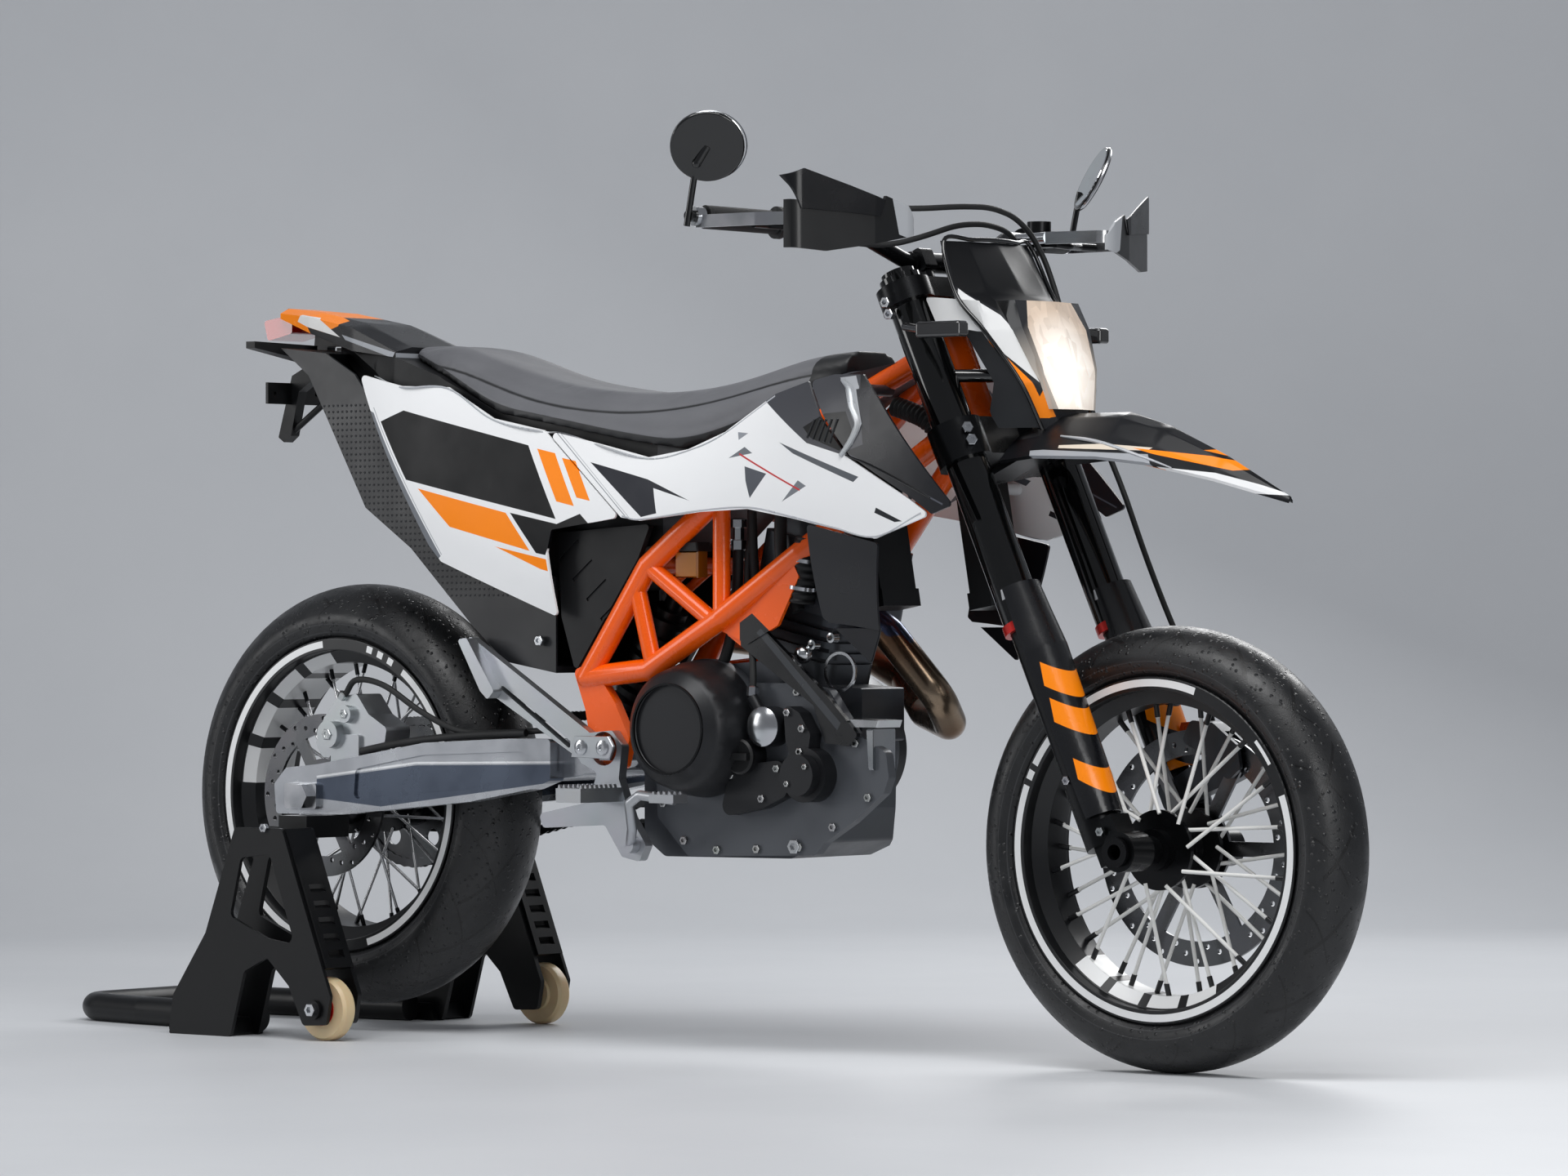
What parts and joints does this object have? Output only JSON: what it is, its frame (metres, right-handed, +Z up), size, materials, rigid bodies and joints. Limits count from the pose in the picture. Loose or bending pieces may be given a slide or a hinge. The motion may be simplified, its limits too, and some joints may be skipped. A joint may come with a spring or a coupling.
{
  "type": "supermoto motorcycle",
  "caption": "Upright supermoto motorcycle with laced wire wheels, trellis frame, high fender and hand guards, held by a rear paddock stand.",
  "frame": {"origin": "on the floor, below the middle of the overall length and width", "axes": "+X forwards, +Y to the rider's left, +Z up"},
  "size_m": [2.271, 0.942, 1.2866],
  "materials": {
    "frame_paint": "gloss powder coat",
    "engine_black": "satin black coating",
    "radiator_black": "satin",
    "cast_alloy": "cast, lightly blasted",
    "bright_steel": "zinc plated",
    "shock_black": "gloss",
    "caliper_alloy": "anodised",
    "caliper_orange": "anodised",
    "white_plastic": "moulded with a gloss film",
    "grey_plastic": "fine moulded grain",
    "black_plastic": "fine moulded grain",
    "seat_cover": "stitched vinyl",
    "tail_plastic": "moulded with a gloss film",
    "titanium": "heat coloured",
    "black_steel": "powder coat",
    "black_anodised": "black anodised",
    "guard_plastic": "moulded",
    "grip_rubber": "moulded",
    "mirror_black": "gloss",
    "lamp_glass": "clear moulded",
    "tyre_rubber": "slick, sidewalls satin",
    "spoke_front": "white coated",
    "spoke_rear": "stainless",
    "roller_cream": "cast urethane"
  },
  "bodies": {
    "chassis": {"frame": "frame_paint", "engine": "engine_black", "engine_covers": "engine_black", "radiator": "radiator_black", "swingarm": "cast_alloy", "rear_axle": "bright_steel", "drive_chain": "bright_steel", "rear_shock": "shock_black", "rear_caliper": "caliper_alloy", "side_panels": "white_plastic", "dark_covers": "black_plastic", "seat": "seat_cover", "tank_and_air_box": "black_plastic", "tail_cowl": "tail_plastic", "rear_mudguard": "black_plastic", "plate_bracket": "black_plastic", "exhaust": "titanium", "foot_controls": "cast_alloy", "paddock_stand": "black_steel"},
    "steering": {"fork_tubes": "black_anodised", "fork_legs": "black_anodised", "triple_clamps": "black_anodised", "fork_guards": "guard_plastic", "front_axle": "black_anodised", "front_caliper": "caliper_orange", "handlebar": "black_steel", "hand_levers": "black_steel", "hand_guards": "black_steel", "mirrors": "mirror_black", "headlight_mask": "grey_plastic", "headlight": "lamp_glass", "front_fender": "guard_plastic", "front_indicators": "black_plastic", "cables": "grip_rubber"},
    "front_wheel": {"front_tyre": "tyre_rubber", "front_rim": "black_anodised", "front_hub": "black_anodised", "front_spokes": "spoke_front", "front_brake_disc": "bright_steel"},
    "rear_wheel": {"rear_tyre": "tyre_rubber", "rear_rim": "black_anodised", "rear_hub": "black_anodised", "rear_spokes": "spoke_rear", "rear_brake_disc": "bright_steel", "rear_sprocket": "bright_steel"},
    "side_stand": {"side_stand": "black_steel"},
    "roller_left": {"stand_roller_left": "roller_cream"},
    "roller_right": {"stand_roller_right": "roller_cream"}
  },
  "joints": [
    {"name": "steering_head", "type": "hinge", "parent": "chassis", "child": "steering", "pos_m": [0.48986, 0, 0.91187], "axis": [-0.4131, 0, 0.9107], "range_deg": [-32, 32]},
    {"name": "front_wheel_spin", "type": "hinge", "parent": "steering", "child": "front_wheel", "pos_m": [0.8355, 0, 0.3], "axis": [0, 1, 0], "continuous": true},
    {"name": "rear_wheel_spin", "type": "hinge", "parent": "chassis", "child": "rear_wheel", "pos_m": [-0.6345, 0, 0.349], "axis": [0, 1, 0], "continuous": true},
    {"name": "side_stand_pivot", "type": "hinge", "parent": "chassis", "child": "side_stand", "pos_m": [0.0355, 0, 0.31], "axis": [0, -1, 0], "range_deg": [0, 95]},
    {"name": "roller_left_spin", "type": "hinge", "parent": "chassis", "child": "roller_left", "pos_m": [-0.4995, 0.235, 0.046], "axis": [0, 1, 0], "continuous": true},
    {"name": "roller_right_spin", "type": "hinge", "parent": "chassis", "child": "roller_right", "pos_m": [-0.4995, -0.235, 0.046], "axis": [0, 1, 0], "continuous": true}
  ]
}
